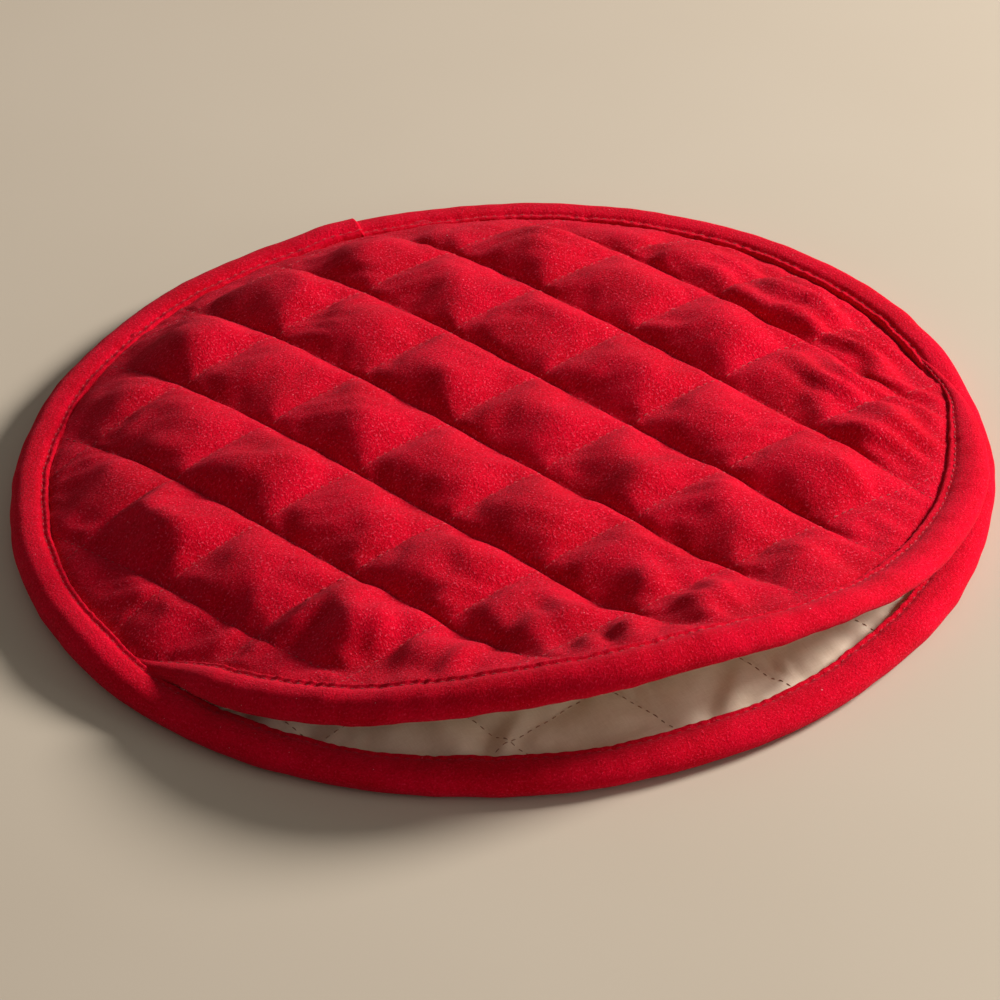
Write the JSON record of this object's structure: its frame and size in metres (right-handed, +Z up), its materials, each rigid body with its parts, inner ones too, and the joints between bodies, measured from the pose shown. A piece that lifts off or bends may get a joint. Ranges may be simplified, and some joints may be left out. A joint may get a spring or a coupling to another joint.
{
  "type": "tortilla warmer",
  "caption": "Round quilted cloth pouch that keeps a stack of flat breads warm, lined, padded and bound, with a mouth flap standing slightly open.",
  "frame": {"origin": "on the table under the centre of the round disc", "axes": "+Z up from the table, the middle of the mouth faces -Y, +X to the right for someone looking in at the mouth"},
  "size_m": [0.305, 0.305, 0.0353],
  "materials": {
    "shell_cotton": "brushed cotton",
    "binding_cotton": "brushed cotton",
    "lining_cotton": "plain cotton",
    "batting": "cotton batting",
    "red_thread": "sewing thread",
    "lining_thread": "sewing thread"
  },
  "bodies": {
    "pouch": {"lower_shell": "shell_cotton", "lower_batting": "batting", "lower_lining": "lining_cotton", "lower_shell_stitches": "red_thread", "lower_lining_stitches": "lining_thread", "lower_seam_allowance": "batting", "upper_shell_back": "shell_cotton", "upper_batting_back": "batting", "upper_lining_back": "lining_cotton", "upper_shell_stitches_back": "red_thread", "upper_lining_stitches_back": "lining_thread", "upper_seam_allowance_back": "batting", "rim_binding": "binding_cotton", "rim_binding_stitches": "red_thread"},
    "mouth_flap": {"upper_shell_flap": "shell_cotton", "upper_batting_flap": "batting", "upper_lining_flap": "lining_cotton", "upper_shell_stitches_flap": "red_thread", "upper_lining_stitches_flap": "lining_thread", "upper_seam_allowance_flap": "batting", "mouth_binding": "binding_cotton", "mouth_binding_stitches": "red_thread"}
  },
  "joints": [
    {"name": "mouth_flap_fold", "type": "hinge", "parent": "pouch", "child": "mouth_flap", "pos_m": [0, -0.042, 0.0275], "axis": [-1, 0, 0], "range_deg": [0, 75]}
  ]
}
